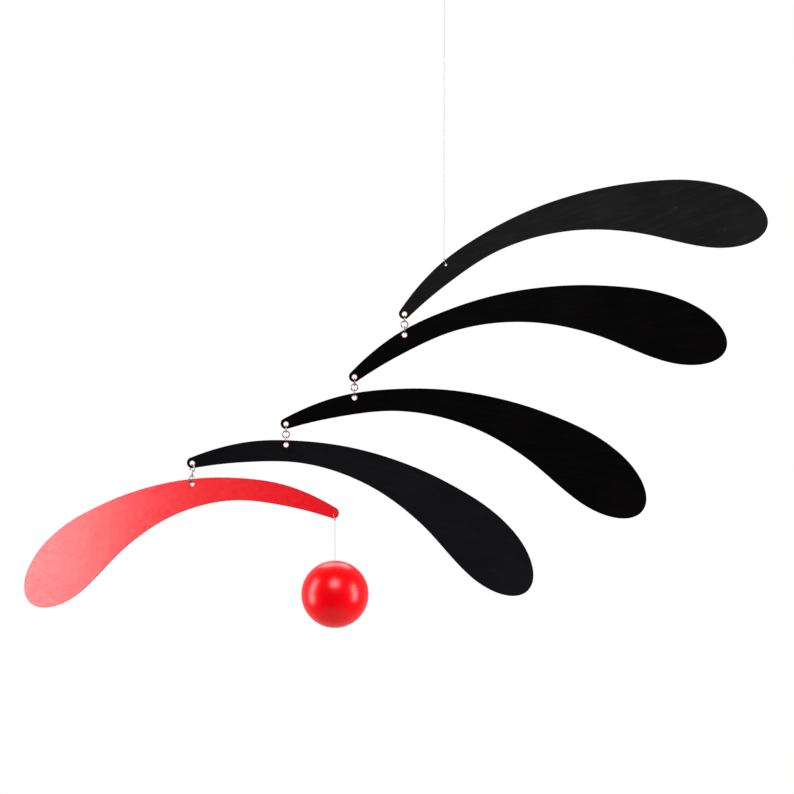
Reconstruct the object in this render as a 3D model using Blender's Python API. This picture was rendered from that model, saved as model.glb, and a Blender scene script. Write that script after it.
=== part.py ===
"""A hanging mobile: five equal blades of coloured sheet, strung by ring links, with a ball on a thread.

Metres, +Z up. The origin is the inner top of the loop tied in the suspension line. +X runs to the right
along the widest direction of the mobile, and +Y points away from the side that the mobile is seen from.
Each blade below the first turns about the upright axis of its link, where an empty stands.
"""
import math

import bmesh
import bpy
import numpy as np
from mathutils import Matrix, Vector

MM = 0.001

# Blade sheet: one outline, cut five times. Its spine is a cubic curve from the tip round's centre.
SHEET_THICKNESS = 1.5 * MM
SPINE_LENGTH = 285.2 * MM
SPINE_START_DEG = 31.9
SPINE_START_PULL = 156.3 * MM
SPINE_END_DEG = -28.0
SPINE_END_PULL = 35.4 * MM
TIP_RADIUS = 4.9 * MM
NECK_HALF_WIDTH = 8.65 * MM
STEM_HALF_WIDTH = 10.05 * MM
WAIST_HALF_WIDTH = 15.0 * MM
BELLY_HALF_WIDTH = 21.9 * MM
WIDEST_HALF_WIDTH = 28.0 * MM
END_HALF_WIDTH = 28.9 * MM
END_ROUND_LENGTH = 56.0 * MM
# Share of the spine at which each half width above is reached
WIDTH_STATIONS = (0.0, 0.1, 0.25, 0.45, 0.65, 0.85, 1.0)

# Holes punched in the blades
LINK_HOLE_DIAMETER = 5.0 * MM
TIP_HOLE_DROP = 0.4 * MM
LINE_HOLE_DIAMETER = 2.0 * MM
THREAD_HOLE_DIAMETER = 1.1 * MM

# Each blade: name, colour slot, its upper hole's distance from the tip round's centre and from the upper
# edge, tilt and turn at rest
BLADES = (
    ("black_blade_1", "black_sheet", 57.6 * MM, 4.0 * MM, 18.2, 0.0),
    ("black_blade_2", "black_sheet", 58.7 * MM, 4.1 * MM, 8.7, 0.8),
    ("black_blade_3", "black_sheet", 65.9 * MM, 4.1 * MM, -9.6, 6.9),
    ("black_blade_4", "black_sheet", 86.9 * MM, 4.1 * MM, -16.9, 14.4),
    ("red_blade", "red_sheet", 146.3 * MM, 4.6 * MM, -11.6, 151.5),
)

# Ring links: three rings between one blade's tip hole and the next blade's upper hole
RING_DIAMETER = 7.4 * MM
RING_WIRE = 1.2 * MM
RING_GAP = 0.2 * MM
RING_HOLE_GAP = 0.5 * MM
RINGS_PER_LINK = 3
# Turn of each ring about the vertical, top to bottom; 0 lies along Y
RING_TURNS = ((3.0, 88.0, 4.0), (10.0, 92.0, 6.0), (2.0, 90.0, 6.0), (45.0, 0.0, -60.0))

# Nylon line above and thread below, each tied through its hole in a small loop
CORD_DIAMETER = 0.45 * MM
CORD_GAP = 0.3 * MM
LINE_LENGTH = 256.0 * MM
THREAD_LENGTH = 41.4 * MM
LINE_TIE_LENGTH = 5.2 * MM
THREAD_TIE_LENGTH = 5.8 * MM
TIE_SHOULDER = 1.0 * MM
KNOT_STRAND_OFFSET = 0.72 * MM
KNOT_END = 0.4 * MM
LINE_TIE_LEAN_DEG = 18.5
THREAD_TIE_LEAN_DEG = 12.4
HANGING_LOOP_HEIGHT = 14.0 * MM
HANGING_LOOP_WIDTH = 6.0 * MM
HANGING_LOOP_COUNT = 9
LINE_RUN_COUNT = 10
THREAD_RUN_COUNT = 6
LINE_POINT_COUNT = 52
THREAD_POINT_COUNT = 26

# Ball
BALL_DIAMETER = 58.9 * MM

# How finely round shapes are faceted
SPINE_STEPS = 36
TIP_STEPS = 8
END_STEPS = 20
HOLE_SIDES = 20
RING_STEPS = 20
RING_SIDES = 8
BALL_SEGMENTS = 32
BALL_RINGS = 20
CURVE_SAMPLES = 24
HOLE_SEARCH_STEPS = 40
# Extra length that a cord's bends count for, per radian, when its points are shared out
BEND_LENGTH = 30.0 * MM

COLOURS = {
    "black_sheet": ((0.012, 0.012, 0.013), 0.45, 0.0),
    "red_sheet": ((0.80, 0.02, 0.03), 0.40, 0.0),
    "ring_steel": ((0.62, 0.58, 0.53), 0.30, 1.0),
    "red_ball": ((0.84, 0.015, 0.025), 0.30, 0.0),
    "clear_nylon": ((0.85, 0.86, 0.87), 0.25, 0.0),
}


def clear_scene():
    for thing in list(bpy.data.objects):
        bpy.data.objects.remove(thing)


def material(slot):
    """The plain material of a slot, made once."""
    if slot in bpy.data.materials:
        return bpy.data.materials[slot]
    made = bpy.data.materials.new(slot)
    made.use_nodes = True
    colour, roughness, metallic = COLOURS[slot]
    shader = made.node_tree.nodes["Principled BSDF"]
    shader.inputs["Base Color"].default_value = (*colour, 1.0)
    shader.inputs["Roughness"].default_value = roughness
    shader.inputs["Metallic"].default_value = metallic
    return made


def add_object(name, data, slot):
    made = bpy.data.objects.new(name, data)
    data.materials.append(material(slot))
    bpy.context.scene.collection.objects.link(made)
    return made


def smooth_through(stations, values, wanted):
    """Smooth curve through rows of values at rising stations, read at the wanted places."""
    step = np.diff(stations)[:, None]
    rise = np.diff(values, axis=0) / step
    slope = np.empty(values.shape)
    slope[1:-1] = (step[1:] * rise[:-1] + step[:-1] * rise[1:]) / (step[1:] + step[:-1])
    slope[0] = 2 * rise[0] - slope[1]
    slope[-1] = 2 * rise[-1] - slope[-2]
    k = np.minimum(np.searchsorted(stations, wanted, side="right") - 1, len(step) - 1)
    s = (wanted - stations[k])[:, None] / step[k]
    low = (1 + 2 * s) * (1 - s) ** 2 * values[k] + s * (1 - s) ** 2 * step[k] * slope[k]
    high = s * s * (3 - 2 * s) * values[k + 1] + s * s * (s - 1) * step[k] * slope[k + 1]
    return low + high


def width_at(share):
    """Half width of a blade at a share of its spine."""
    widths = (TIP_RADIUS, NECK_HALF_WIDTH, STEM_HALF_WIDTH, WAIST_HALF_WIDTH, BELLY_HALF_WIDTH,
              WIDEST_HALF_WIDTH, END_HALF_WIDTH)
    found = smooth_through(np.array(WIDTH_STATIONS), np.array(widths)[:, None], np.array([share]))
    return float(found[0, 0])


def direction(degrees):
    return Vector((math.cos(math.radians(degrees)), math.sin(math.radians(degrees))))


def spine(share):
    """Point, forward direction and leftward normal of a blade's spine, in the sheet's plane."""
    start = Vector((0.0, 0.0))
    end = Vector((SPINE_LENGTH, 0.0))
    pull_out = start + SPINE_START_PULL * direction(SPINE_START_DEG)
    pull_in = end - SPINE_END_PULL * direction(SPINE_END_DEG)
    a, b = 1 - share, share
    point = a ** 3 * start + 3 * a * a * b * pull_out + 3 * a * b * b * pull_in + b ** 3 * end
    heading = a * a * (pull_out - start) + 2 * a * b * (pull_in - pull_out) + b * b * (end - pull_in)
    heading.normalize()
    return point, heading, Vector((-heading.y, heading.x))


def blade_outline():
    """Closed outline of a blade, clockwise from the tip along its upper edge."""
    upper, lower = [], []
    for i in range(SPINE_STEPS + 1):
        share = i / SPINE_STEPS
        point, _, normal = spine(share)
        upper.append(point + normal * width_at(share))
        lower.append(point - normal * width_at(share))
    point, heading, normal = spine(1.0)
    end = []
    for i in range(1, END_STEPS):
        turn = math.pi * i / END_STEPS
        across = normal * END_HALF_WIDTH * math.cos(turn)
        end.append(point + across + heading * END_ROUND_LENGTH * math.sin(turn))
    point, heading, normal = spine(0.0)
    tip = []
    for i in range(1, TIP_STEPS):
        turn = math.pi * i / TIP_STEPS
        tip.append(point - TIP_RADIUS * (normal * math.cos(turn) + heading * math.sin(turn)))
    return upper + end + lower[::-1] + tip


def upper_hole(distance, inset):
    """Centre of a hole at this distance from the tip round and this far in from the upper edge."""
    low, high = 0.0, 1.0
    for _ in range(HOLE_SEARCH_STEPS):
        share = (low + high) / 2
        point, _, normal = spine(share)
        hole = point + normal * (width_at(share) - inset)
        if hole.length < distance:
            low = share
        else:
            high = share
    return hole


def tip_hole():
    return Vector((0.0, -TIP_HOLE_DROP))


def circle(centre, radius, sides):
    return [centre + radius * direction(360.0 * i / sides) for i in range(sides)]


def sheet_mesh(name, loops):
    """A flat sheet in the XZ plane: the first loop is its outline and the rest are holes through it."""
    bm = bmesh.new()
    edges = []
    for loop in loops:
        verts = [bm.verts.new((p.x, -SHEET_THICKNESS / 2, p.y)) for p in loop]
        edges += [bm.edges.new((verts[i - 1], verts[i])) for i in range(len(verts))]
    bmesh.ops.triangle_fill(bm, edges=edges, use_beauty=True, use_dissolve=False)
    sweep = bmesh.ops.extrude_face_region(bm, geom=bm.faces[:])
    back = [v for v in sweep["geom"] if isinstance(v, bmesh.types.BMVert)]
    bmesh.ops.translate(bm, verts=back, vec=(0.0, SHEET_THICKNESS, 0.0))
    bmesh.ops.recalc_face_normals(bm, faces=bm.faces)
    mesh = bpy.data.meshes.new(name)
    bm.to_mesh(mesh)
    bm.free()
    return mesh


def blade_place(hole, at, tilt, turn):
    """Matrix that tilts a sheet in its plane, turns it about the vertical and sets its hole at a point."""
    turned = Matrix.Rotation(math.radians(turn), 4, "Z") @ Matrix.Rotation(math.radians(-tilt), 4, "Y")
    return Matrix.Translation(at) @ turned @ Matrix.Translation((-hole.x, 0.0, -hole.y))


def ring_mesh(name):
    """One round wire ring in the YZ plane, about its own centre."""
    bm = bmesh.new()
    radius = (RING_DIAMETER - RING_WIRE) / 2
    verts = []
    for i in range(RING_STEPS):
        around = math.tau * i / RING_STEPS
        for j in range(RING_SIDES):
            across = math.tau * j / RING_SIDES
            reach = radius + RING_WIRE / 2 * math.cos(across)
            verts.append(bm.verts.new((RING_WIRE / 2 * math.sin(across), reach * math.cos(around),
                                       reach * math.sin(around))))
    for i in range(RING_STEPS):
        for j in range(RING_SIDES):
            here, ahead = i * RING_SIDES, (i + 1) % RING_STEPS * RING_SIDES
            side = (j + 1) % RING_SIDES
            bm.faces.new((verts[here + j], verts[here + side], verts[ahead + side], verts[ahead + j]))
    bmesh.ops.recalc_face_normals(bm, faces=bm.faces)
    mesh = bpy.data.meshes.new(name)
    bm.to_mesh(mesh)
    bm.free()
    mesh.shade_smooth()
    return mesh


def ring_drops():
    """Depth of each ring's centre below the hole that the link hangs from."""
    top = LINK_HOLE_DIAMETER / 2 - RING_HOLE_GAP - RING_WIRE / 2 + (RING_DIAMETER - RING_WIRE) / 2
    pitch = RING_DIAMETER - 2 * RING_WIRE - RING_GAP
    return [top + i * pitch for i in range(RINGS_PER_LINK)]


def link_drop():
    """Distance from a blade's tip hole down to the next blade's upper hole."""
    drops = ring_drops()
    return drops[0] + drops[-1]


def add_link(number, at):
    """Three rings below a hole, top to bottom."""
    rings = []
    for i, drop in enumerate(ring_drops()):
        name = f"link_{number}_ring_{'abc'[i]}"
        ring = add_object(name, ring_mesh(name), "ring_steel")
        ring.location = at - Vector((0.0, 0.0, drop))
        ring.rotation_euler.z = math.radians(RING_TURNS[number - 1][i])
        rings.append(ring)
    return rings


def add_swivel(number, at):
    """An empty on the upright axis that the blade below a link turns about."""
    swivel = bpy.data.objects.new(f"link_{number}_swivel", None)
    bpy.context.scene.collection.objects.link(swivel)
    swivel.location = at
    return swivel


def carry(swivel, pieces):
    """Let pieces turn with a swivel, each staying where it is."""
    if swivel is None:
        return
    for piece in pieces:
        piece.parent = swivel
        piece.matrix_parent_inverse = Matrix.Translation(-swivel.location)


def smooth_route(points, count):
    """Points on a smooth curve through the route's own points, closer together where it bends."""
    points = np.array([tuple(point) for point in points])
    gaps = np.linalg.norm(np.diff(points, axis=0), axis=1)
    stations = np.concatenate(([0.0], np.cumsum(np.sqrt(gaps))))
    samples = np.linspace(0.0, stations[-1], CURVE_SAMPLES * len(gaps) + 1)
    fine = smooth_through(stations, points, samples)
    steps = np.diff(fine, axis=0)
    lengths = np.linalg.norm(steps, axis=1)
    bends = np.linalg.norm(np.diff(steps / lengths[:, None], axis=0), axis=1)
    effort = np.cumsum(lengths + BEND_LENGTH * np.append(bends, 0.0))
    effort = np.concatenate(([0.0], effort))
    shares = np.linspace(0.0, effort[-1], count)
    return [Vector([np.interp(share, effort, fine[:, axis]) for axis in range(3)]) for share in shares]


def add_cord(name, route, count):
    curve = bpy.data.curves.new(name, "CURVE")
    curve.dimensions = "3D"
    curve.bevel_depth = CORD_DIAMETER / 2
    curve.bevel_resolution = 2
    curve.render_resolution_u = 0
    curve.use_fill_caps = True
    line = curve.splines.new("POLY")
    points = smooth_route(route, count)
    line.points.add(len(points) - 1)
    for spot, point in zip(line.points, points):
        spot.co = (*point, 1.0)
    return add_object(name, curve, "clear_nylon")


def tie_route(hole, knot, face):
    """Route of a tied loop: from its knot over one face, through the hole and back to the knot."""
    along = (hole - knot).normalized()
    reach = SHEET_THICKNESS / 2 + CORD_GAP + CORD_DIAMETER / 2
    heart = hole - along * reach
    shoulder = knot + along * TIE_SHOULDER
    route = [shoulder + face * reach]
    for degrees in (0, 45, 90, 135, 180):
        bend = direction(degrees)
        route.append(heart + reach * (face * bend.x + along * bend.y))
    route.append(shoulder - face * reach)
    route.append(knot + along * KNOT_END - face * KNOT_STRAND_OFFSET)
    return route


def taut_run(start, end, steps):
    """Points on a straight line, closer together towards both ends."""
    shares = [(1 - math.cos(math.pi * i / steps)) / 2 for i in range(steps + 1)]
    return [start.lerp(end, share) for share in shares]


def hanging_loop():
    """Route of the top loop: from its knot up one side, round the top and back down to the knot."""
    radius = (HANGING_LOOP_WIDTH + CORD_DIAMETER) / 2
    centre = Vector((0.0, 0.0, -HANGING_LOOP_WIDTH / 2))
    side = math.degrees(math.asin(radius / (HANGING_LOOP_HEIGHT + centre.z)))
    route = [Vector((KNOT_STRAND_OFFSET, 0.0, -HANGING_LOOP_HEIGHT - KNOT_END))]
    for i in range(HANGING_LOOP_COUNT + 1):
        bend = radius * direction(-side + (180 + 2 * side) * i / HANGING_LOOP_COUNT)
        route.append(centre + Vector((bend.x, 0.0, bend.y)))
    return route


def add_ball(top):
    """The ball, whose top meets the end of the thread."""
    bm = bmesh.new()
    bmesh.ops.create_uvsphere(bm, u_segments=BALL_SEGMENTS, v_segments=BALL_RINGS, radius=BALL_DIAMETER / 2)
    mesh = bpy.data.meshes.new("ball")
    bm.to_mesh(mesh)
    bm.free()
    mesh.shade_smooth()
    ball = add_object("ball", mesh, "red_ball")
    ball.location = Vector(top) - Vector((0.0, 0.0, BALL_DIAMETER / 2))
    return ball


def build():
    clear_scene()
    down = Vector((0.0, 0.0, -1.0))
    outline = blade_outline()
    lean = math.radians(LINE_TIE_LEAN_DEG)
    knot = down * (LINE_LENGTH - LINE_TIE_LENGTH * math.cos(lean))
    at = knot + LINE_TIE_LENGTH * Vector((math.sin(lean), 0.0, -math.cos(lean)))
    tie = tie_route(at, knot, Vector((0.0, -1.0, 0.0)))
    run = taut_run(down * HANGING_LOOP_HEIGHT, knot - down * TIE_SHOULDER, LINE_RUN_COUNT)
    add_cord("suspension_line", hanging_loop() + run + tie, LINE_POINT_COUNT)

    swivel = None
    for number, (name, slot, distance, inset, tilt, turn) in enumerate(BLADES, start=1):
        first, last = number == 1, number == len(BLADES)
        hung = upper_hole(distance, inset)
        hung_radius = (LINE_HOLE_DIAMETER if first else LINK_HOLE_DIAMETER) / 2
        tip_radius = (THREAD_HOLE_DIAMETER if last else LINK_HOLE_DIAMETER) / 2
        holes = [circle(hung, hung_radius, HOLE_SIDES), circle(tip_hole(), tip_radius, HOLE_SIDES)]
        blade = add_object(name, sheet_mesh(name, [outline] + holes), slot)
        place = blade_place(hung, at, tilt, turn)
        blade.matrix_world = place
        carry(swivel, [blade])
        at = place @ Vector((tip_hole().x, 0.0, tip_hole().y))
        if not last:
            rings = add_link(number, at)
            carry(swivel, rings[:-1])
            below = add_swivel(number, at + down * ring_drops()[-1])
            carry(swivel, [below])
            carry(below, rings[-1:])
            swivel = below
            at = at + down * link_drop()

    face = place.to_3x3() @ Vector((0.0, 1.0, 0.0))
    outward = place.to_3x3() @ Vector((-1.0, 0.0, 0.0))
    outward.z = 0.0
    lean = math.radians(THREAD_TIE_LEAN_DEG)
    knot = at + THREAD_TIE_LENGTH * (outward.normalized() * math.sin(lean) + down * math.cos(lean))
    ball_top = Vector((knot.x, knot.y, at.z - THREAD_LENGTH))
    run = taut_run(knot + down * TIE_SHOULDER, ball_top - down * CORD_GAP, THREAD_RUN_COUNT)
    thread = add_cord("ball_thread", tie_route(at, knot, face)[::-1] + run, THREAD_POINT_COUNT)
    carry(swivel, [thread, add_ball(ball_top)])


build()
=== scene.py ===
"""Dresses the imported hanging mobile: cut board blades, split rings, a lacquered ball and clear nylon.

Metres, +Z up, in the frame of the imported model, whose origin is the top of the suspension line's loop.
"""
import math

import bmesh
import bpy
import numpy as np
from mathutils import Matrix, Vector


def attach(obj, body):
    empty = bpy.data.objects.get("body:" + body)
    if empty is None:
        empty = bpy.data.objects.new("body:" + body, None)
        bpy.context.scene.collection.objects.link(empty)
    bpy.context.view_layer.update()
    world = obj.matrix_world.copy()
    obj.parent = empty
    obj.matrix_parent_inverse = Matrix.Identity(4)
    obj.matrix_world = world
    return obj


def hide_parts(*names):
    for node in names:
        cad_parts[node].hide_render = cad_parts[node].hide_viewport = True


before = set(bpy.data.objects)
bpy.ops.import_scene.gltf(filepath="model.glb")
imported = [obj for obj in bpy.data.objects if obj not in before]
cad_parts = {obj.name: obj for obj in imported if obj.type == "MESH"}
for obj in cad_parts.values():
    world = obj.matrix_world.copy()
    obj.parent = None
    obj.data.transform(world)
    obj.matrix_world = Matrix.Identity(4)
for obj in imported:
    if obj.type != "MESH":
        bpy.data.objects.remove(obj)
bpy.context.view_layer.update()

MM = 0.001

# Blade sheet, as in the part's source
SHEET_THICKNESS = 1.5 * MM
SPINE_LENGTH = 285.2 * MM
SPINE_START_DEG = 31.9
SPINE_START_PULL = 156.3 * MM
SPINE_END_DEG = -28.0
SPINE_END_PULL = 35.4 * MM
TIP_RADIUS = 4.9 * MM
HALF_WIDTHS = (4.9 * MM, 8.65 * MM, 10.05 * MM, 15.0 * MM, 21.9 * MM, 28.0 * MM, 28.9 * MM)
WIDTH_STATIONS = (0.0, 0.1, 0.25, 0.45, 0.65, 0.85, 1.0)
END_ROUND_LENGTH = 56.0 * MM
LINK_HOLE_DIAMETER = 5.0 * MM
TIP_HOLE_DROP = 0.4 * MM
LINE_HOLE_DIAMETER = 2.0 * MM
THREAD_HOLE_DIAMETER = 1.1 * MM
CUT_ROUND = 0.06 * MM
HOLE_LIP = 0.4 * MM
LIPPED_HOLE_RADIUS = 2.0 * MM
LIP_CUTS = 5
# Along Y, a cut's face has a normal below the first of these, and the sheet's flat faces above the second
WALL_NORMAL = 0.5
FLAT_NORMAL = 0.999

# Each blade: node, body, colour slot, its upper hole's distance from the tip round's centre and from the
# upper edge, tilt and turn at rest in degrees
BLADES = (
    ("black_blade_1", "top_blade", "black_sheet", 57.6 * MM, 4.0 * MM, 18.2, 0.0),
    ("black_blade_2", "second_blade", "black_sheet", 58.7 * MM, 4.1 * MM, 8.7, 0.8),
    ("black_blade_3", "third_blade", "black_sheet", 65.9 * MM, 4.1 * MM, -9.6, 6.9),
    ("black_blade_4", "fourth_blade", "black_sheet", 86.9 * MM, 4.1 * MM, -16.9, 14.4),
    ("red_blade", "lowest_blade", "red_sheet", 146.3 * MM, 4.6 * MM, -11.6, 151.5),
)

# Ring links
RING_DIAMETER = 7.4 * MM
RING_WIRE = 1.2 * MM
RING_GAP = 0.2 * MM
RING_HOLE_GAP = 0.5 * MM
RINGS_PER_LINK = 3
# Turn of each ring about the vertical in degrees, top to bottom, where 0 lies along Y
RING_TURNS = ((3.0, 88.0, 4.0), (10.0, 92.0, 6.0), (2.0, 90.0, 6.0), (45.0, 0.0, -60.0))
# Where the wire of each ring begins, as an angle round the ring in degrees
RING_SPLITS = ((250.0, 205.0, 300.0), (110.0, 215.0, 60.0), (290.0, 222.0, 80.0), (200.0, 250.0, 285.0))
# Turns of wire in a ring, and the turn at which the wire starts to step across to the second one
COIL_TURNS = 1.88
COIL_STEP_START = 0.89
# The wire's size along the ring's axis and across its turns, the step from turn to turn, and how square it is
COIL_THICKNESS = 0.5 * MM
COIL_DEPTH = 1.05 * MM
COIL_SHIFT = 0.52 * MM
COIL_SQUARENESS = 2.3
# The wire's size at its ends as a share of its full size, and how much of it a turn adds from there
COIL_END_SIZE = 0.7
COIL_END_GROWTH = 24.0
COIL_STEPS = 112
COIL_SIDES = 16

# Nylon
CORD_DIAMETER = 0.45 * MM
CORD_GAP = 0.3 * MM
LINE_LENGTH = 256.0 * MM
THREAD_LENGTH = 41.4 * MM
LINE_TIE_LENGTH = 5.2 * MM
THREAD_TIE_LENGTH = 5.8 * MM
TIE_SHOULDER = 1.0 * MM
KNOT_STRAND_OFFSET = 0.72 * MM
KNOT_END = 0.4 * MM
KNOT_RADIUS = 0.46 * MM
KNOT_SWELL = 0.22 * MM
KNOT_RISE = 0.5 * MM
KNOT_POINTS = 72
LINE_TIE_LEAN_DEG = 18.5
THREAD_TIE_LEAN_DEG = 12.4
HANGING_LOOP_HEIGHT = 14.0 * MM
HANGING_LOOP_WIDTH = 6.0 * MM
HANGING_LOOP_STEPS = 9
LINE_STEPS = 10
THREAD_STEPS = 6
CORD_POINTS = 160
# Extra length that a cord's bends count for, per radian, when its points are shared out
BEND_LENGTH = 30.0 * MM
CURVE_SAMPLES = 24
HOLE_SEARCH_STEPS = 40

# Ball, with the drilled hole that the thread goes into
BALL_DIAMETER = 58.9 * MM
BALL_ROWS = 72
BALL_COLUMNS = 128
BALL_HOLE_RADIUS = 0.9 * MM
BALL_HOLE_DEPTH = 2.6 * MM
BALL_HOLE_TAPER = 0.92
BALL_HOLE_EDGE = 0.25 * MM
BALL_HOLE_ROUND = 0.18 * MM
THREAD_DEPTH = 1.4 * MM

# Colours, as linear light
RED_DARK, RED_BRIGHT = (0.68, 0.0035, 0.0085), (0.76, 0.0055, 0.0125)
LACQUER_DARK, LACQUER_BRIGHT = (0.87, 0.0003, 0.0045), (0.93, 0.0005, 0.0060)
STEEL_TARNISHED, STEEL_BRIGHT = (0.27, 0.20, 0.155), (0.76, 0.67, 0.61)
CLEAR_NYLON, KNOT_NYLON = (0.92, 0.93, 0.94), (0.78, 0.99, 1.0)
DUST_COLOUR = (0.16, 0.155, 0.15)
WHITE = (1.0, 1.0, 1.0)
# Dark and pale fibres of the board's core, at the outline's cut and in the holes. The cut edges' colours are
# darkened as painted shade, and the black sheets' hole colours are brightened and warmed as painted light
# caught inside the holes
BLACK_EDGE_IN_SHADE = (0.020, 0.011, 0.008), (0.085, 0.050, 0.036)
BLACK_HOLE_LIT = (0.42, 0.15, 0.055), (0.80, 0.36, 0.17)
RED_EDGE_IN_SHADE = (0.030, 0.008, 0.006), (0.11, 0.030, 0.022)
RED_HOLE = (0.42, 0.004, 0.008), (0.75, 0.020, 0.020)
# Each black blade's coating: material, colour, and how strongly dust and streaks show
BLACK_COATINGS = (
    # real scuffs, dust and streaks, with the colour lifted further as painted reflection
    ("black_coating_scuffed_and_sheen", (0.0058, 0.0057, 0.0057), 0.6, 0.05),
    ("black_coating_clean", (0.0006, 0.0003, 0.0003), 0.05, 0.01),
    ("black_coating_plain", (0.0007, 0.0004, 0.0004), 0.05, 0.01),
    # colour lifted and made bluish as painted sheen
    ("black_coating_painted_sheen", (0.0032, 0.0031, 0.0040), 0.1, 0.02),
)
TOOTH_SCALE = 2600.0
# Sockets of a mix node that mixes colours
MIX_FIRST, MIX_SECOND, MIX_RESULT = 6, 7, 2

# Camera: a long lens, looking along +Y and slightly down at what the middle of the photograph shows
AIM = Vector((-42.27, 0.0, -374.82)) * MM
CAMERA_DISTANCE = 3.2
CAMERA_PITCH_DEG = 3.0
PHOTO_WIDTH_PX = 794
MM_PER_PX = 0.9
VIEW_WIDTH = PHOTO_WIDTH_PX * MM_PER_PX * MM
SENSOR_MM = 36.0
CLIP_NEAR, CLIP_FAR = 0.05, 60.0

# Studio: the room's light rises over this range of directions along Y, from dark to bright
ROOM_FADE = (-0.1, 0.6)
ROOM_LIGHT = (0.01, 0.5)
FLOOR_RADIUS = 1.3
FLOOR_DEPTH = 1.6
FLOOR_SEGMENTS = 128
FLOOR_COLOUR = (0.9, 0.9, 0.9)
FLOOR_GLOW = 0.5
# Each softbox: name, place, width, height, radiance, the point that it faces and its shape
SOFTBOXES = (
    ("left_softbox", (-1.0, -0.18, -0.35), 0.36, 1.1, 8.0, (0.0, -0.18, -0.35), "RECTANGLE"),
    ("right_softbox", (1.15, -0.50, -0.35), 0.45, 1.1, 10.0, (-0.1, -0.1, -0.35), "RECTANGLE"),
    ("front_softbox", (-0.1, -1.35, 0.65), 0.9, 0.9, 10.0, (-0.1, 0.0, -0.4), "DISK"),
    ("top_softbox", (-0.1, 1.12, 0.8), 1.4, 0.9, 6.0, AIM, "RECTANGLE"),
)

DOWN = Vector((0.0, 0.0, -1.0))


def add_camera():
    lens = bpy.data.cameras.new("camera")
    lens.sensor_width = SENSOR_MM
    lens.lens = SENSOR_MM * CAMERA_DISTANCE / VIEW_WIDTH
    lens.clip_start = CLIP_NEAR
    lens.clip_end = CLIP_FAR
    camera = bpy.data.objects.new("camera", lens)
    pitch = math.radians(CAMERA_PITCH_DEG)
    camera.location = AIM + CAMERA_DISTANCE * Vector((0.0, -math.cos(pitch), math.sin(pitch)))
    camera.rotation_euler = (math.radians(90.0) - pitch, 0.0, 0.0)
    bpy.context.scene.collection.objects.link(camera)
    bpy.context.scene.camera = camera


def direction(degrees):
    return Vector((math.cos(math.radians(degrees)), math.sin(math.radians(degrees))))


def smooth_through(stations, values, wanted):
    """Smooth curve through rows of values at rising stations, read at the wanted places."""
    step = np.diff(stations)[:, None]
    rise = np.diff(values, axis=0) / step
    slope = np.empty(values.shape)
    slope[1:-1] = (step[1:] * rise[:-1] + step[:-1] * rise[1:]) / (step[1:] + step[:-1])
    slope[0] = 2 * rise[0] - slope[1]
    slope[-1] = 2 * rise[-1] - slope[-2]
    k = np.minimum(np.searchsorted(stations, wanted, side="right") - 1, len(step) - 1)
    s = (wanted - stations[k])[:, None] / step[k]
    low = (1 + 2 * s) * (1 - s) ** 2 * values[k] + s * (1 - s) ** 2 * step[k] * slope[k]
    high = s * s * (3 - 2 * s) * values[k + 1] + s * s * (s - 1) * step[k] * slope[k + 1]
    return low + high


def width_at(share):
    found = smooth_through(np.array(WIDTH_STATIONS), np.array(HALF_WIDTHS)[:, None], np.array([share]))
    return float(found[0, 0])


def spine(share):
    """Point, forward direction and leftward normal of a blade's spine, in the sheet's plane."""
    start = Vector((0.0, 0.0))
    end = Vector((SPINE_LENGTH, 0.0))
    pull_out = start + SPINE_START_PULL * direction(SPINE_START_DEG)
    pull_in = end - SPINE_END_PULL * direction(SPINE_END_DEG)
    a, b = 1 - share, share
    point = a ** 3 * start + 3 * a * a * b * pull_out + 3 * a * b * b * pull_in + b ** 3 * end
    heading = a * a * (pull_out - start) + 2 * a * b * (pull_in - pull_out) + b * b * (end - pull_in)
    heading.normalize()
    return point, heading, Vector((-heading.y, heading.x))


def blade_outline(spine_steps=120, end_steps=48, tip_steps=20):
    """Closed outline of a blade, clockwise from the tip along its upper edge."""
    upper, lower = [], []
    for i in range(spine_steps + 1):
        share = i / spine_steps
        point, _, normal = spine(share)
        upper.append(point + normal * width_at(share))
        lower.append(point - normal * width_at(share))
    point, heading, normal = spine(1.0)
    end = []
    for i in range(1, end_steps):
        turn = math.pi * i / end_steps
        across = normal * HALF_WIDTHS[-1] * math.cos(turn)
        end.append(point + across + heading * END_ROUND_LENGTH * math.sin(turn))
    point, heading, normal = spine(0.0)
    tip = []
    for i in range(1, tip_steps):
        turn = math.pi * i / tip_steps
        tip.append(point - TIP_RADIUS * (normal * math.cos(turn) + heading * math.sin(turn)))
    return upper + end + lower[::-1] + tip


def upper_hole(distance, inset):
    """Centre of a hole at this distance from the tip round and this far in from the upper edge."""
    low, high = 0.0, 1.0
    for _ in range(HOLE_SEARCH_STEPS):
        share = (low + high) / 2
        point, _, normal = spine(share)
        hole = point + normal * (width_at(share) - inset)
        if hole.length < distance:
            low = share
        else:
            high = share
    return hole


def circle(centre, radius, sides=40):
    return [centre + radius * direction(360.0 * i / sides) for i in range(sides)]


def blade_place(hole, at, tilt, turn):
    """Matrix that tilts a sheet in its plane, turns it about the vertical and sets its hole at a point."""
    turned = Matrix.Rotation(math.radians(turn), 4, "Z") @ Matrix.Rotation(math.radians(-tilt), 4, "Y")
    return Matrix.Translation(at) @ turned @ Matrix.Translation((-hole.x, 0.0, -hole.y))


def ring_drops():
    """Depth of each ring's centre below the hole that the link hangs from."""
    top = LINK_HOLE_DIAMETER / 2 - RING_HOLE_GAP - RING_WIRE / 2 + (RING_DIAMETER - RING_WIRE) / 2
    pitch = RING_DIAMETER - 2 * RING_WIRE - RING_GAP
    return [top + i * pitch for i in range(RINGS_PER_LINK)]


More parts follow.
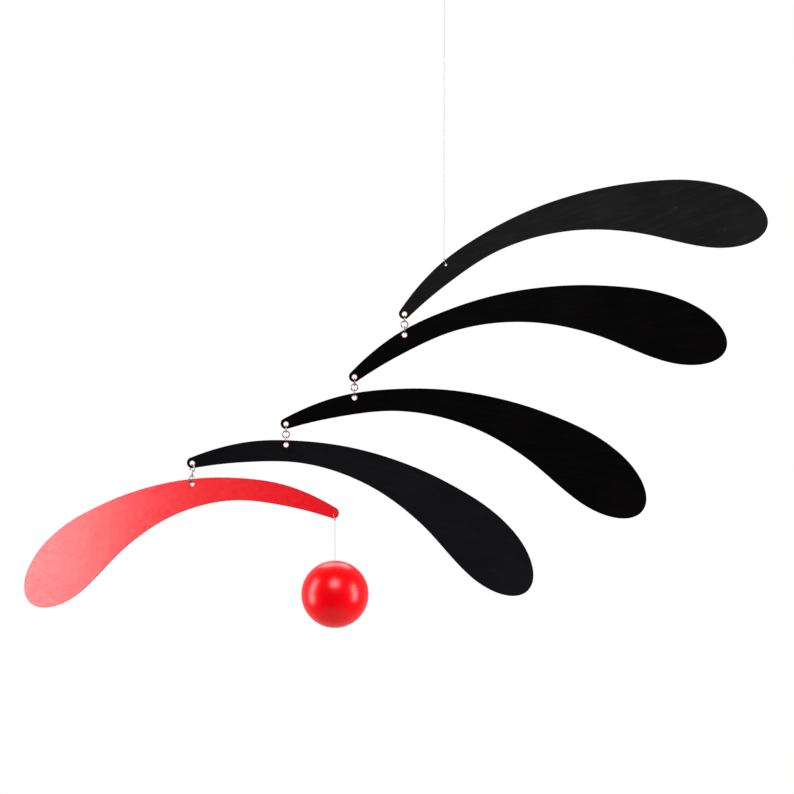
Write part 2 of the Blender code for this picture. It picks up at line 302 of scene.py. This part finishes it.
def smooth_route(points, count):
    """Points on a smooth curve through the route's own points, closer together where it bends."""
    points = np.array([tuple(point) for point in points])
    gaps = np.linalg.norm(np.diff(points, axis=0), axis=1)
    stations = np.concatenate(([0.0], np.cumsum(np.sqrt(gaps))))
    samples = np.linspace(0.0, stations[-1], CURVE_SAMPLES * len(gaps) + 1)
    fine = smooth_through(stations, points, samples)
    steps = np.diff(fine, axis=0)
    lengths = np.linalg.norm(steps, axis=1)
    bends = np.linalg.norm(np.diff(steps / lengths[:, None], axis=0), axis=1)
    effort = np.cumsum(lengths + BEND_LENGTH * np.append(bends, 0.0))
    effort = np.concatenate(([0.0], effort))
    shares = np.linspace(0.0, effort[-1], count)
    return [Vector([np.interp(share, effort, fine[:, axis]) for axis in range(3)]) for share in shares]


def tie_route(hole, knot, face):
    """Route of a tied loop: from its knot over one face, through the hole and back to the knot."""
    along = (hole - knot).normalized()
    reach = SHEET_THICKNESS / 2 + CORD_GAP + CORD_DIAMETER / 2
    heart = hole - along * reach
    shoulder = knot + along * TIE_SHOULDER
    route = [shoulder + face * reach]
    for degrees in (0, 45, 90, 135, 180):
        bend = direction(degrees)
        route.append(heart + reach * (face * bend.x + along * bend.y))
    route.append(shoulder - face * reach)
    route.append(knot + along * KNOT_END - face * KNOT_STRAND_OFFSET)
    return route


def taut_run(start, end, steps):
    """Points on a straight line, closer together towards both ends."""
    shares = [(1 - math.cos(math.pi * i / steps)) / 2 for i in range(steps + 1)]
    return [start.lerp(end, share) for share in shares]


def hanging_loop():
    """Route of the top loop: from its knot up one side, round the top and back down to the knot."""
    radius = (HANGING_LOOP_WIDTH + CORD_DIAMETER) / 2
    centre = Vector((0.0, 0.0, -HANGING_LOOP_WIDTH / 2))
    side = math.degrees(math.asin(radius / (HANGING_LOOP_HEIGHT + centre.z)))
    route = [Vector((KNOT_STRAND_OFFSET, 0.0, -HANGING_LOOP_HEIGHT - KNOT_END))]
    for i in range(HANGING_LOOP_STEPS + 1):
        bend = radius * direction(-side + (180 + 2 * side) * i / HANGING_LOOP_STEPS)
        route.append(centre + Vector((bend.x, 0.0, bend.y)))
    return route


def link_object(name, data, slot, *surfaces):
    """A new piece of the scene with its materials. The slot argument is not used."""
    made = bpy.data.objects.new(name, data)
    for surface in surfaces:
        data.materials.append(surface)
    bpy.context.scene.collection.objects.link(made)
    return made


# Materials

def start_material(name):
    made = bpy.data.materials.new(name)
    made.use_nodes = True
    return made, made.node_tree, made.node_tree.nodes["Principled BSDF"]


def node(tree, kind, inputs=(), **facts):
    """Adds a node, sets its properties and fills or links its inputs."""
    made = tree.nodes.new(kind)
    for key, value in facts.items():
        setattr(made, key, value)
    for key, value in dict(inputs).items():
        if isinstance(value, bpy.types.NodeSocket):
            tree.links.new(value, made.inputs[key])
        else:
            made.inputs[key].default_value = value
    return made


def ramp(tree, source, *stops):
    made = node(tree, "ShaderNodeValToRGB", {"Fac": source})
    while len(made.color_ramp.elements) < len(stops):
        made.color_ramp.elements.new(1.0)
    for element, (position, colour) in zip(made.color_ramp.elements, stops):
        element.position = position
        element.color = (*colour, 1.0)
    return made.outputs["Color"]


def remap(tree, source, old, new):
    """Takes a value from its old range, low and high, to a new one."""
    inputs = {"Value": source, "From Min": old[0], "From Max": old[1], "To Min": new[0], "To Max": new[1]}
    return node(tree, "ShaderNodeMapRange", inputs).outputs["Result"]


def combine(tree, operation, first, second):
    return node(tree, "ShaderNodeMath", {0: first, 1: second}, operation=operation).outputs["Value"]


def place(tree, turn_deg=0.0, scale=(1.0, 1.0, 1.0)):
    """The piece's own coordinates, turned about Y and scaled."""
    own = node(tree, "ShaderNodeTexCoord").outputs["Object"]
    inputs = {"Vector": own, "Rotation": (0.0, math.radians(turn_deg), 0.0), "Scale": scale}
    return node(tree, "ShaderNodeMapping", inputs).outputs["Vector"]


def noise(tree, where, scale, detail, roughness=0.55):
    inputs = {"Vector": where, "Scale": scale, "Detail": detail, "Roughness": roughness}
    return node(tree, "ShaderNodeTexNoise", inputs).outputs["Fac"]


def feed(tree, shader, **sources):
    """Links each source to the shader's input of that name, written with underscores."""
    for name, source in sources.items():
        tree.links.new(source, shader.inputs[name.replace("_", " ")])


def bump(tree, shader, height, depth, strength):
    made = node(tree, "ShaderNodeBump", {"Height": height, "Distance": depth, "Strength": strength})
    feed(tree, shader, Normal=made.outputs["Normal"])


def black_face(name, colour, dust, streaks):
    """Black satin coating with a fine tooth, long faint streaks and specks of dust."""
    made, tree, shader = start_material(name)
    tooth = noise(tree, place(tree), scale=TOOTH_SCALE, detail=2.0)
    clouds = noise(tree, place(tree), scale=16.0, detail=4.0)
    slant = place(tree, turn_deg=14.0, scale=(0.08, 1.0, 1.0))
    streak = noise(tree, slant, scale=520.0, detail=4.0, roughness=0.7)
    worn = remap(tree, streak, old=(0.5, 0.8), new=(0.0, streaks))
    cells = node(tree, "ShaderNodeTexVoronoi", {"Vector": place(tree), "Scale": 95.0, "Randomness": 1.0})
    speck = remap(tree, cells.outputs["Distance"], old=(0.0, 0.05), new=(dust, 0.0))
    tint = ramp(tree, clouds, (0.3, colour), (0.75, tuple(1.5 * c for c in colour)))
    inputs = {"Factor": combine(tree, "ADD", worn, speck), MIX_FIRST: tint, MIX_SECOND: (*DUST_COLOUR, 1.0)}
    mixed = node(tree, "ShaderNodeMix", inputs, data_type="RGBA")
    feed(tree, shader, Base_Color=mixed.outputs[MIX_RESULT],
         Roughness=remap(tree, clouds, old=(0.2, 0.8), new=(0.26, 0.32)))
    shader.inputs["Specular IOR Level"].default_value = 0.15
    bump(tree, shader, tooth, depth=0.03 * MM, strength=0.35)
    return made


def red_face():
    """Red satin coating with the shallow diagonal mottle that the photograph shows."""
    made, tree, shader = start_material("red_coating")
    slant = place(tree, turn_deg=-65.0, scale=(0.6, 1.0, 1.0))
    mottle = noise(tree, slant, scale=360.0, detail=3.0, roughness=0.6)
    tooth = noise(tree, place(tree), scale=TOOTH_SCALE, detail=2.0)
    clouds = noise(tree, place(tree), scale=22.0, detail=3.0)
    feed(tree, shader, Base_Color=ramp(tree, mottle, (0.3, RED_DARK), (0.7, RED_BRIGHT)),
         Roughness=remap(tree, clouds, old=(0.1, 0.9), new=(0.19, 0.25)),
         Specular_IOR_Level=remap(tree, mottle, old=(0.25, 0.75), new=(0.34, 0.64)))
    height = combine(tree, "ADD", mottle, combine(tree, "MULTIPLY", tooth, 0.12))
    bump(tree, shader, height, depth=0.16 * MM, strength=0.6)
    return made


def board_core(name, dark, pale):
    """Cut edge of fibre board: thin layers across its thickness and loose fibres along the cut. The colours
    given carry painted shade at the outline's cut and painted light in the black sheets' holes.
    """
    made, tree, shader = start_material(name)
    layers = noise(tree, place(tree, scale=(0.04, 1.0, 0.04)), scale=5200.0, detail=2.0)
    fibres = noise(tree, place(tree, scale=(1.0, 0.3, 1.0)), scale=1500.0, detail=4.0, roughness=0.65)
    mixed = combine(tree, "MULTIPLY", layers, fibres)
    feed(tree, shader, Base_Color=ramp(tree, mixed, (0.12, dark), (0.42, pale)))
    shader.inputs["Roughness"].default_value = 0.85
    shader.inputs["Specular IOR Level"].default_value = 0.1
    bump(tree, shader, mixed, depth=0.12 * MM, strength=0.6)
    return made


def ring_metal():
    """Warm spring steel, drawn along the wire and a little tarnished."""
    made, tree, shader = start_material("ring_steel_finish")
    tarnish = noise(tree, place(tree), scale=420.0, detail=3.0)
    drawn = noise(tree, place(tree, scale=(3.0, 1.0, 1.0)), scale=3800.0, detail=2.0)
    feed(tree, shader, Base_Color=ramp(tree, tarnish, (0.38, STEEL_TARNISHED), (0.6, STEEL_BRIGHT)),
         Roughness=remap(tree, tarnish, old=(0.3, 0.7), new=(0.36, 0.2)))
    shader.inputs["Metallic"].default_value = 1.0
    bump(tree, shader, drawn, depth=0.02 * MM, strength=0.3)
    return made


def ball_lacquer():
    """Red lacquer over a smooth shell, with a very slight orange peel."""
    made, tree, shader = start_material("ball_lacquer")
    peel = noise(tree, place(tree), scale=240.0, detail=2.0, roughness=0.4)
    clouds = noise(tree, place(tree), scale=30.0, detail=3.0)
    feed(tree, shader, Base_Color=ramp(tree, clouds, (0.2, LACQUER_DARK), (0.8, LACQUER_BRIGHT)),
         Roughness=remap(tree, clouds, old=(0.2, 0.8), new=(0.25, 0.29)))
    shader.inputs["Specular IOR Level"].default_value = 0.35
    bump(tree, shader, peel, depth=0.03 * MM, strength=0.12)
    return made


def nylon(name, colour):
    """Clear nylon, drawn lengthwise."""
    made, tree, shader = start_material(name)
    drawn = noise(tree, place(tree), scale=1600.0, detail=2.0)
    feed(tree, shader, Base_Color=ramp(tree, drawn, (0.3, tuple(0.92 * c for c in colour)), (0.7, colour)),
         Roughness=remap(tree, drawn, old=(0.3, 0.7), new=(0.12, 0.22)))
    shader.inputs["Transmission Weight"].default_value = 0.92
    shader.inputs["IOR"].default_value = 1.53
    return made


# Pieces

def finish_mesh(name, bm):
    mesh = bpy.data.meshes.new(name)
    bm.to_mesh(mesh)
    bm.free()
    return mesh


def hole_at(spot, holes):
    """The hole that this spot is on the wall of, or None."""
    for centre, radius in holes:
        if (Vector((spot.x, spot.z)) - centre).length < radius + 2 * CUT_ROUND:
            return centre, radius
    return None


def mark_cuts(bm, holes):
    """Gives the outline's wall material 1 and the walls of the link holes material 2."""
    for face in bm.faces:
        if abs(face.normal.y) < WALL_NORMAL:
            hole = hole_at(face.calc_center_median(), holes)
            face.material_index = 2 if hole and hole[1] > LIPPED_HOLE_RADIUS else 1


def raise_lips(bm, holes):
    """Swells the walls of the link holes inward, most in the middle of the sheet."""
    across = [e for e in bm.edges if abs(e.verts[0].co.y - e.verts[1].co.y) > SHEET_THICKNESS / 2
              and hole_at(e.verts[0].co, holes)]
    bmesh.ops.subdivide_edges(bm, edges=across, cuts=LIP_CUTS, use_grid_fill=True)
    for vert in bm.verts:
        hole = hole_at(vert.co, holes)
        if hole and hole[1] > LIPPED_HOLE_RADIUS:
            inward = hole[0] - Vector((vert.co.x, vert.co.z))
            inward *= HOLE_LIP * (1 - (2 * vert.co.y / SHEET_THICKNESS) ** 2) / inward.length
            vert.co += Vector((inward.x, 0.0, inward.y))


def sheet_mesh(name, loops):
    """A flat sheet in the XZ plane with rounded cuts: an outline, then the holes in it."""
    bm = bmesh.new()
    edges = []
    for loop in loops:
        verts = [bm.verts.new((p.x, -SHEET_THICKNESS / 2, p.y)) for p in loop]
        edges += [bm.edges.new((verts[i - 1], verts[i])) for i in range(len(verts))]
    bmesh.ops.triangle_fill(bm, edges=edges, use_beauty=True, use_dissolve=False)
    sweep = bmesh.ops.extrude_face_region(bm, geom=bm.faces[:])
    back = [v for v in sweep["geom"] if isinstance(v, bmesh.types.BMVert)]
    bmesh.ops.translate(bm, verts=back, vec=(0.0, SHEET_THICKNESS, 0.0))
    bmesh.ops.recalc_face_normals(bm, faces=bm.faces)
    bm.normal_update()
    holes = []
    for loop in loops[1:]:
        centre = sum(loop, Vector((0.0, 0.0))) / len(loop)
        holes.append((centre, (loop[0] - loop[len(loop) // 2]).length / 2))
    mark_cuts(bm, holes)
    rims = [e for e in bm.edges if len({f.material_index == 0 for f in e.link_faces}) == 2]
    bmesh.ops.bevel(bm, geom=rims, offset=CUT_ROUND, segments=2, affect="EDGES", profile=0.5, material=-1)
    raise_lips(bm, holes)
    bm.normal_update()
    for face in bm.faces:
        face.smooth = abs(face.normal.y) < FLAT_NORMAL
    return finish_mesh(name, bm)


def split_ring_mesh(name, split):
    """A split ring in the YZ plane: nearly two turns of flat wire side by side, with a step at the split."""
    bm = bmesh.new()
    radius = (RING_DIAMETER - RING_WIRE) / 2
    loops = []
    for i in range(COIL_STEPS + 1):
        turns = COIL_TURNS * i / COIL_STEPS
        shift = min(max((turns - COIL_STEP_START) / (1.0 - COIL_STEP_START), 0.0), 1.0)
        shift = shift * shift * (3 - 2 * shift)
        taper = min(1.0, COIL_END_SIZE + COIL_END_GROWTH * min(turns, COIL_TURNS - turns))
        around = direction(split + 360.0 * turns)
        loop = []
        for j in range(COIL_SIDES):
            across = direction(360.0 * (j + 0.5) / COIL_SIDES)
            power = COIL_SQUARENESS
            swell = taper * (abs(across.x) ** power + abs(across.y) ** power) ** (-1 / power)
            reach = radius + COIL_DEPTH / 2 * swell * across.x
            aside = (shift - 0.5) * COIL_SHIFT + COIL_THICKNESS / 2 * swell * across.y
            loop.append(bm.verts.new((aside, reach * around.x, reach * around.y)))
        loops.append(loop)
    for here, ahead in zip(loops, loops[1:]):
        for j in range(COIL_SIDES):
            bm.faces.new((here[j - 1], here[j], ahead[j], ahead[j - 1]))
    bm.faces.new(loops[0])
    bm.faces.new(loops[-1][::-1])
    bmesh.ops.recalc_face_normals(bm, faces=bm.faces)
    for face in bm.faces:
        face.smooth = len(face.verts) == 4
    return finish_mesh(name, bm)


def add_strand(name, points, surface, bevel_steps, closed=False):
    """A strand of nylon through these points, with capped ends unless it is closed."""
    curve = bpy.data.curves.new(name, "CURVE")
    curve.dimensions = "3D"
    curve.bevel_depth = CORD_DIAMETER / 2
    curve.bevel_resolution = bevel_steps
    curve.use_fill_caps = not closed
    line = curve.splines.new("POLY")
    line.points.add(len(points) - 1)
    for spot, point in zip(line.points, points):
        spot.co = (*point, 1.0)
    line.use_cyclic_u = closed
    line.use_smooth = True
    return link_object(name, curve, "clear_nylon", surface)


def add_knot(name, at, along, surface):
    """A small overhand knot drawn tight round the cord."""
    frame_turn = along.normalized().to_track_quat("Z", "X").to_matrix()
    points = []
    for i in range(KNOT_POINTS):
        turn = math.tau * i / KNOT_POINTS
        wide = KNOT_RADIUS + KNOT_SWELL * math.cos(3 * turn)
        local = Vector((wide * math.cos(2 * turn), wide * math.sin(2 * turn), KNOT_RISE * math.sin(3 * turn)))
        points.append(at + frame_turn @ local)
    return add_strand(name, points, surface, bevel_steps=3, closed=True)


def ball_mesh(name):
    """A smooth shell with a small drilled hole at its top, whose floor has material 1."""
    bm = bmesh.new()
    radius = BALL_DIAMETER / 2
    start = math.asin((BALL_HOLE_RADIUS + BALL_HOLE_ROUND) / radius)
    profile = [(BALL_HOLE_RADIUS * BALL_HOLE_TAPER, radius - BALL_HOLE_DEPTH),
               (BALL_HOLE_RADIUS, radius - BALL_HOLE_EDGE)]
    for i in range(BALL_ROWS):
        polar = start + (math.pi - start) * i / BALL_ROWS
        profile.append((radius * math.sin(polar), radius * math.cos(polar)))
    turns = [math.tau * j / BALL_COLUMNS for j in range(BALL_COLUMNS)]
    loops = []
    for wide, high in profile:
        loops.append([bm.verts.new((wide * math.cos(turn), wide * math.sin(turn), high)) for turn in turns])
    for above, below in zip(loops, loops[1:]):
        for j in range(BALL_COLUMNS):
            bm.faces.new((above[j - 1], above[j], below[j], below[j - 1]))
    bottom = bm.verts.new((0.0, 0.0, -radius))
    for j in range(BALL_COLUMNS):
        bm.faces.new((loops[-1][j - 1], loops[-1][j], bottom))
    hole_floor = bm.faces.new(loops[0])
    hole_floor.material_index = 1
    bmesh.ops.recalc_face_normals(bm, faces=bm.faces)
    for face in bm.faces:
        face.smooth = True
    return finish_mesh(name, bm)


def add_suspension_line(clear, tinted):
    """The line with its top loop and its tie. Returns the place of the top blade's upper hole."""
    lean = math.radians(LINE_TIE_LEAN_DEG)
    knot = DOWN * (LINE_LENGTH - LINE_TIE_LENGTH * math.cos(lean))
    at = knot + LINE_TIE_LENGTH * Vector((math.sin(lean), 0.0, -math.cos(lean)))
    run = taut_run(DOWN * HANGING_LOOP_HEIGHT, knot - DOWN * TIE_SHOULDER, LINE_STEPS)
    route = smooth_route(hanging_loop() + run + tie_route(at, knot, Vector((0.0, -1.0, 0.0))), CORD_POINTS)
    line = add_strand("nylon_line", route[::-1], clear, bevel_steps=4)
    knots = [add_knot("line_tie_knot", knot, DOWN, tinted),
             add_knot("line_loop_knot", DOWN * HANGING_LOOP_HEIGHT, DOWN, clear)]
    for piece in [line] + knots:
        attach(piece, "top_blade")
    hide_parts("suspension_line")
    return at


def add_blade(number, at, surfaces):
    """A blade hung by its upper hole at this place. Returns its matrix and the place of its tip hole."""
    name, body, slot, distance, inset, tilt, turn = BLADES[number - 1]
    hung = upper_hole(distance, inset)
    tip = Vector((0.0, -TIP_HOLE_DROP))
    hung_diameter = LINE_HOLE_DIAMETER if number == 1 else LINK_HOLE_DIAMETER
    tip_diameter = THREAD_HOLE_DIAMETER if number == len(BLADES) else LINK_HOLE_DIAMETER
    loops = [blade_outline(), circle(hung, hung_diameter / 2), circle(tip, tip_diameter / 2)]
    blade = link_object(f"{name}_board", sheet_mesh(f"{name}_board", loops), slot, *surfaces)
    where = blade_place(hung, at, tilt, turn)
    blade.matrix_world = where
    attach(blade, body)
    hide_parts(name)
    return where, where @ Vector((tip.x, 0.0, tip.y))


def add_link(number, at, steel):
    """Split rings below this blade's tip hole. Returns the place of the next blade's upper hole."""
    body, next_body = BLADES[number - 1][1], BLADES[number][1]
    drops = ring_drops()
    for i, drop in enumerate(drops):
        ring_name = f"link_{number}_ring_{'abc'[i]}"
        mesh = split_ring_mesh(f"{ring_name}_split", RING_SPLITS[number - 1][i])
        ring = link_object(f"{ring_name}_split", mesh, "ring_steel", steel)
        ring.location = at + DOWN * drop
        ring.rotation_euler.z = math.radians(RING_TURNS[number - 1][i])
        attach(ring, body if i < RINGS_PER_LINK - 1 else next_body)
        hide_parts(ring_name)
    return at + DOWN * (drops[0] + drops[-1])


def add_thread_and_ball(where, at, clear, tinted, drilled):
    """The thread, tied through the tip hole of the last blade, whose matrix is given, and the ball."""
    face = where.to_3x3() @ Vector((0.0, 1.0, 0.0))
    outward = where.to_3x3() @ Vector((-1.0, 0.0, 0.0))
    outward.z = 0.0
    lean = math.radians(THREAD_TIE_LEAN_DEG)
    knot = at + THREAD_TIE_LENGTH * (outward.normalized() * math.sin(lean) + DOWN * math.cos(lean))
    ball_top = Vector((knot.x, knot.y, at.z - THREAD_LENGTH))
    run = taut_run(knot + DOWN * TIE_SHOULDER, ball_top + DOWN * THREAD_DEPTH, THREAD_STEPS)
    route = smooth_route(tie_route(at, knot, face)[::-1] + run, CORD_POINTS)
    thread = add_strand("nylon_thread", route, clear, bevel_steps=4)
    thread_knot = add_knot("thread_tie_knot", knot, DOWN, tinted)
    # the ball's hole floor takes the black sheets' hole colour, which carries painted light
    ball = link_object("lacquered_ball", ball_mesh("lacquered_ball"), "red_ball", ball_lacquer(), drilled)
    ball.location = ball_top + DOWN * BALL_DIAMETER / 2
    for piece in (thread, thread_knot, ball):
        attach(piece, "lowest_blade")
    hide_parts("ball_thread")
    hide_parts("ball")


def add_pieces():
    black_faces = [black_face(*coating) for coating in BLACK_COATINGS]
    # the red sheet's cut edges: dark colour as painted shade
    red_surfaces = red_face(), board_core("cut_edge_painted_shade_red", *RED_EDGE_IN_SHADE), board_core("board_hole_red", *RED_HOLE)
    # cut edges of the black sheets: dark colour as painted shade
    edge = board_core("cut_edge_painted_shade", *BLACK_EDGE_IN_SHADE)
    # walls of the black sheets' holes: brown core brightened and warmed as painted light caught in the holes
    drilled = board_core("board_hole", *BLACK_HOLE_LIT)
    steel = ring_metal()
    clear = nylon("nylon_clear", CLEAR_NYLON)
    tinted = nylon("nylon_knot", KNOT_NYLON)
    at = add_suspension_line(clear, tinted)
    for number, face in enumerate(black_faces, start=1):
        _, at = add_blade(number, at, (face, edge, drilled))
        at = add_link(number, at, steel)
    where, at = add_blade(len(BLADES), at, red_surfaces)
    add_thread_and_ball(where, at, clear, tinted, drilled)


# Studio

def add_softbox(name, at, width, height, radiance, look_at, shape):
    """A soft panel of this brightness that faces a point of the mobile."""
    lamp = bpy.data.lights.new(name, "AREA")
    lamp.shape = shape
    lamp.size = width
    lamp.size_y = height
    area = width * height * (math.pi / 4 if shape == "DISK" else 1.0)
    lamp.energy = radiance * math.pi * area
    made = bpy.data.objects.new(name, lamp)
    made.location = at
    made.rotation_euler = (Vector(look_at) - Vector(at)).to_track_quat("-Z", "Y").to_euler()
    made.visible_camera = False
    bpy.context.scene.collection.objects.link(made)


def add_world():
    """White backdrop for the camera. The studio itself is dark in front of the mobile and bright behind it."""
    world = bpy.data.worlds.new("studio")
    world.use_nodes = True
    bpy.context.scene.world = world
    tree = world.node_tree
    tree.nodes.clear()
    way = node(tree, "ShaderNodeTexCoord").outputs["Generated"]
    parts = node(tree, "ShaderNodeSeparateXYZ", {"Vector": way})
    shade = remap(tree, parts.outputs["Y"], old=ROOM_FADE, new=ROOM_LIGHT)
    room = node(tree, "ShaderNodeBackground", {"Color": (*WHITE, 1.0), "Strength": shade})
    white = node(tree, "ShaderNodeBackground", {"Color": (*WHITE, 1.0), "Strength": 1.0})
    seen = node(tree, "ShaderNodeLightPath").outputs["Is Camera Ray"]
    both = node(tree, "ShaderNodeMixShader", {0: seen, 1: room.outputs[0], 2: white.outputs[0]})
    out = node(tree, "ShaderNodeOutputWorld")
    tree.links.new(both.outputs[0], out.inputs["Surface"])


def add_floor():
    bm = bmesh.new()
    bmesh.ops.create_circle(bm, cap_ends=True, segments=FLOOR_SEGMENTS, radius=FLOOR_RADIUS)
    mesh = finish_mesh("floor", bm)
    made, _, shader = start_material("floor_white")
    shader.inputs["Base Color"].default_value = (*FLOOR_COLOUR, 1.0)
    shader.inputs["Roughness"].default_value = 0.9
    shader.inputs["Emission Color"].default_value = (*WHITE, 1.0)
    shader.inputs["Emission Strength"].default_value = FLOOR_GLOW
    mesh.materials.append(made)
    floor = bpy.data.objects.new("floor", mesh)
    floor.location = DOWN * FLOOR_DEPTH
    floor.visible_glossy = False
    bpy.context.scene.collection.objects.link(floor)


add_camera()
add_pieces()
add_world()
add_floor()
for softbox in SOFTBOXES:
    add_softbox(*softbox)
bpy.context.scene.view_settings.view_transform = "Standard"
